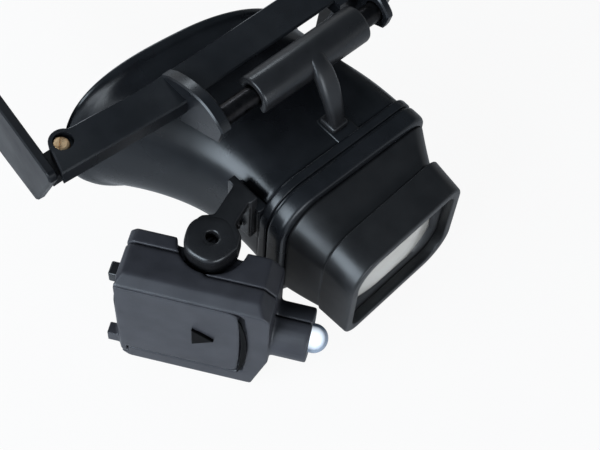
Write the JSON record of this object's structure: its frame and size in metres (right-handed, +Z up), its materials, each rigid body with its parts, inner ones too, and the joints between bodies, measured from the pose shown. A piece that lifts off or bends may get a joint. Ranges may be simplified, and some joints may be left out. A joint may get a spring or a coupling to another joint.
{
  "type": "head-worn lighted magnifying loupe",
  "caption": "Spectacle frame whose brow bar carries a sliding, flip-up loupe with an eyecup, a stepped lens tube and a swivelling lamp with its own battery door.",
  "frame": {"origin": "middle of the bounding box's floor, between the temple feet and the lens", "axes": "+X towards the wearer's left, -Y forward along the line of sight, +Z up"},
  "size_m": [0.1554, 0.1794, 0.049],
  "materials": {
    "frame_plastic": "semi-gloss black moulded plastic",
    "pad_rubber": "soft matte black rubber",
    "screw_steel": "plain bright steel",
    "brass": "dull yellow brass with a turned head",
    "dark_steel": "blackened steel with a soft shine",
    "clip_plastic": "glossy black moulded plastic",
    "housing_plastic": "satin black moulded plastic",
    "lens_mount_plastic": "semi-gloss black moulded plastic",
    "lens_glass": "polished clear lens",
    "lamp_plastic": "satin charcoal moulded plastic",
    "diode_resin": "clear resin dome, lit white",
    "contact_nickel": "bright nickel plate",
    "board_laminate": "green laminate"
  },
  "bodies": {
    "frame": {"brow_bar": "frame_plastic", "nose_bridge": "frame_plastic", "nose_pad_right": "pad_rubber", "nose_pad_left": "pad_rubber", "bridge_screw_1": "screw_steel", "bridge_screw_2": "screw_steel", "hinge_screw_right": "brass", "hinge_screw_left": "brass"},
    "temple_right": {"temple_right": "frame_plastic"},
    "temple_left": {"temple_left": "frame_plastic"},
    "rod": {"slide_rod": "dark_steel"},
    "loupe": {"slider_clip": "clip_plastic", "arm_screw": "screw_steel", "eyecup_housing": "housing_plastic", "housing_ring": "housing_plastic", "lamp_bracket": "clip_plastic", "bracket_screw_1": "dark_steel", "bracket_screw_2": "dark_steel", "pivot_screw": "dark_steel", "pivot_washer": "screw_steel"},
    "lens_module": {"lens_tube": "lens_mount_plastic", "bezel": "lens_mount_plastic", "front_lens": "lens_glass", "lens_spacer": "clip_plastic", "rear_lens": "lens_glass"},
    "lamp": {"lamp_outer_shell": "lamp_plastic", "lamp_inner_shell": "lamp_plastic", "shell_screw_1": "screw_steel", "shell_screw_2": "screw_steel", "led": "diode_resin", "led_lead_1": "contact_nickel", "led_lead_2": "contact_nickel", "lamp_board": "board_laminate", "contact_spring": "contact_nickel", "contact_plate": "contact_nickel", "coin_cell_1": "contact_nickel", "coin_cell_2": "contact_nickel"},
    "battery_door": {"battery_door": "lamp_plastic"},
    "switch_knob": {"switch_knob": "clip_plastic"}
  },
  "joints": [
    {"name": "temple_right_fold", "type": "hinge", "parent": "frame", "child": "temple_right", "pos_m": [-0.07033, -0.04028, 0.0453], "axis": [0, 0, -1], "range_deg": [0, 45]},
    {"name": "temple_left_fold", "type": "hinge", "parent": "frame", "child": "temple_left", "pos_m": [0.07147, -0.04028, 0.0453], "axis": [0, 0, 1], "range_deg": [0, 79]},
    {"name": "loupe_flip", "type": "hinge", "parent": "frame", "child": "rod", "pos_m": [0.00057, -0.05318, 0.04435], "axis": [-1, 0, 0], "range_deg": [0, 85]},
    {"name": "loupe_slide", "type": "slide", "parent": "rod", "child": "loupe", "axis": [1, 0, 0], "range_m": [-0.0072, 0.0034]},
    {"name": "lens_pull", "type": "slide", "parent": "loupe", "child": "lens_module", "axis": [0, -1, 0], "range_m": [0, 0.012]},
    {"name": "lamp_swing", "type": "hinge", "parent": "loupe", "child": "lamp", "pos_m": [-0.05833, -0.06508, 0.0303], "axis": [0, 0, 1], "range_deg": [-76, 5]},
    {"name": "battery_door_slide", "type": "slide", "parent": "lamp", "child": "battery_door", "axis": [-0.5693, 0.8221, 0], "range_m": [0, 0.024]},
    {"name": "switch_slide", "type": "slide", "parent": "lamp", "child": "switch_knob", "axis": [0, 0, 1], "range_m": [0, 0.0022]}
  ]
}
